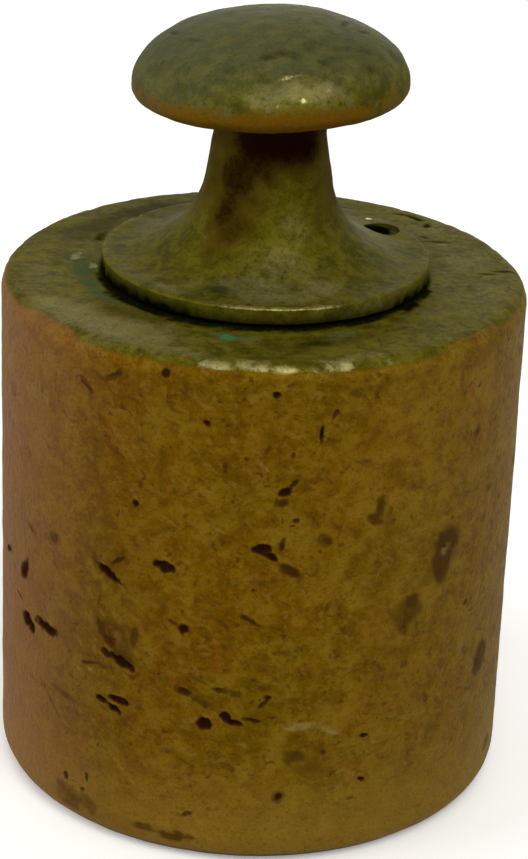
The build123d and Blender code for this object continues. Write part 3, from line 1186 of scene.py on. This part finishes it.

# The flange's upper edge carries a painted highlight, strongest in front and at the left. Its underside
# is painted dark as shade, the foot of its rim is darkened by dirt and painted shade from the seam, and
# its face is paler towards the front right.
on_rim = brush.reach > 15.6
rim_line = near_to(above, 1.9, 0.08, 0.25) * on_rim
lit_rim = 0.45 * near_to(brush.turn, 4, 16, 30) + 0.22 * near_to(brush.turn, -105, 22, 45)
brush.wash("bright", rim_line * (0.15 + lit_rim))
brush.sunk += 0.12 * rim_line * np.maximum(0, brush.waves(1.4, 3))
shade_under_flange = fall(above, 0.3, 0.6) * (brush.reach > 10.2)
brush.wash("grime_and_shade", shade_under_flange * 0.9)
rim_foot = fall(above, 0.7, 2.0) * on_rim
rim_dirt_and_shade = 0.05 + 0.2 * fall(brush.turn, -10, 20) + 0.6 * near_to(brush.turn, -62, 32, 54)
rim_dirt_and_shade += 0.6 * near_to(brush.turn, 66, 7, 16)
brush.wash("grime_and_shade", rim_foot * (rim_dirt_and_shade + 0.7 * brush.waves(2.2, 3)))
rim_face = fall(above, 1.7, 1.85) * on_rim
brush.wash("stain", rim_face * 0.55 * near_to(brush.turn, -56, 30, 48))
paler_rim_face = (0.06 + 0.2 * near_to(brush.turn, 38, 12, 22)) * near_to(brush.turn, 20, 34, 46)
brush.wash("pale", rim_face * paler_rim_face)

# The hole's wall is painted dark as shade, and the part that faces the light is painted pale as lit.
in_hole = deep_in_hole(brush.places)
lit_wall = climb(brush.places[:, 0], 12.2, 12.9)
brush.wash("grime_and_shade", in_hole * (1 - lit_wall))
brush.wash("pale", in_hole * lit_wall)

# The thread, cut as a helix into the spigot below the relief.
threaded = near_to(above, -5.0, 2.6, 3.4) * (brush.reach > 9.5)
turns_up = above * MM / thread_pitch - brush.turn / 360
thread_wave = np.abs((turns_up % 1.0) * 2 - 1)
brush.sunk += threaded * (thread_depth / MM) * thread_wave
brush.done()

# The head is bent over on the neck, within a few millimetres of the neck's top.
pivot = Vector((0, 0, seat + head_lean_height))
bend_start = pivot.z - 2 * MM
bend_length = 3 * MM
for vertex in knob.data.vertices:
    share = (vertex.co.z - bend_start) / bend_length
    lean = Matrix.Rotation(-head_lean * min(1, max(0, share)), 3, "Y")
    vertex.co = pivot + lean @ (vertex.co - pivot)
smooth(knob)

aged = Finish("aged_brass_knob")
place = aged.place()
broad = aged.cloud(place, 8.0, detail=2.0)
blotch = aged.cloud(place, 2.8, detail=3.0, roughness=0.6, distortion=0.8)
mottle = aged.cloud(place, 1.3, detail=3.0, roughness=0.6, distortion=0.6)
flecks = aged.cloud(place, 0.6, detail=2.0, roughness=0.6, distortion=0.4)
grain = aged.cloud(place, 0.26, detail=2.0, roughness=0.6)
ragged = mottle * 0.4 + flecks * 0.3 + grain * 0.3 - 0.5
skin = aged.mix(broad.rise(0.3, 0.7), colour(78, 73, 8), colour(87, 80, 12))
skin = aged.veined(
    skin,
    (blotch, 0.46, 0.68, 0.3, (104, 97, 30)),
    (blotch, 0.54, 0.36, 0.42, (50, 52, 6)),
    (mottle, 0.48, 0.66, 0.4, (110, 102, 34)),
    (mottle, 0.52, 0.35, 0.38, (52, 48, 5)),
    (flecks, 0.56, 0.74, 0.3, (114, 105, 38)),
    (flecks, 0.46, 0.3, 0.4, (42, 38, 4)),
)

# The dome is greener than the neck, in coarse patches, and greyer towards its top and its left.
head_up = aged.along(place, 2)
head_aside = aged.along(place, 0)
on_dome = head_up.rise(71.0, 72.5)
patches = aged.cloud(place, 2.3, detail=4.0, roughness=0.72, distortion=0.3)
skin = aged.mix(patches.rise(0.52, 0.4) * on_dome * 0.55, skin, colour(44, 50, 14))
skin = aged.mix(patches.rise(0.54, 0.66) * on_dome * 0.3, skin, colour(112, 108, 66))
skin = aged.mix(head_up.rise(72.5, 77.5) * 0.5, skin, colour(84, 88, 62))
left_of_dome = head_up.rise(70.0, 73.0) * head_aside.rise(0.0, -12.0)
skin = aged.mix(left_of_dome * 0.45, skin, colour(74, 78, 58))
gold = (aged.mark("gold") + ragged * 2.4 + (blotch - 0.5) * 0.7).rise(0.1, 0.95)
lip_skin = aged.mix(head_aside.rise(-9.0, -13.0), colour(96, 66, 8), colour(104, 62, 30))
skin = aged.mix(gold, skin, lip_skin)
# Pale: painted highlight and sheen on the front of the knob, the painted lit wall of the hole, and
# rubbed brass.
pale = (aged.mark("pale") + ragged * 0.9).rise(0.05, 0.95) * 0.75
skin = aged.mix(pale, skin, colour(130, 122, 78))
stain = (aged.mark("stain") + ragged * 2.4).rise(0.15, 0.95) * 0.8
skin = aged.mix(stain, skin, colour(36, 38, 8))
# Brown patina, with painted shadow under the head.
brown = (aged.mark("brown") + ragged * 1.0).rise(0.0, 1.0)
skin = aged.mix(brown, skin, aged.mix(brown.rise(0.5, 0.95), colour(58, 34, 5), colour(28, 8, 2)))
# Bright: a chip, and painted highlights on the dome's front and along the flange's upper edge.
bright = (aged.mark("bright") + ragged * 1.6).rise(0.3, 0.95)
skin = aged.mix(bright * 0.8, skin, colour(168, 158, 104))
# Dirt, and painted shade under the flange, at the foot of its rim and in the hole.
grime_and_shade = (aged.mark("grime_and_shade") + ragged * 0.5).rise(0.1, 0.8)
skin = aged.mix(grime_and_shade, skin, colour(12, 12, 4))
skin = aged.mix(grain.rise(0.5, 0.25) * 0.35, skin, colour(26, 22, 4))
bareness = 0.36 + bright * 0.4 + pale * 0.3 - grime_and_shade * 0.3 - brown * 0.3
dullness = 0.6 + (mottle - 0.5) * 0.3 + grime_and_shade * 0.2 + brown * 0.1 - bright * 0.2 - pale * 0.1
knob.data.materials.append(
    aged.surface(
        bump_height=mottle + flecks * 0.2, bump_depth=0.07,
        Base_Color=skin, Metallic=bareness, Roughness=dullness, Specular_IOR_Level=0.0,
    )
)
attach(knob, "knob")
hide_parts("knob")


# Adjusting lead. Poured into the chamber under the knob to bring the weight to its mass, and never
# seen while the knob is in. It keeps the mesh that it has.
lead = Finish("lead")
lead_cloud = lead.cloud(lead.place(), 1.5)
lead_skin = lead.mix(lead_cloud.rise(0.3, 0.7), colour(96, 98, 102), colour(122, 123, 126))
lead_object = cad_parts["adjusting_lead"]
lead_object.data.materials.clear()
lead_object.data.materials.append(lead.surface(Base_Color=lead_skin, Metallic=0.6, Roughness=0.6))
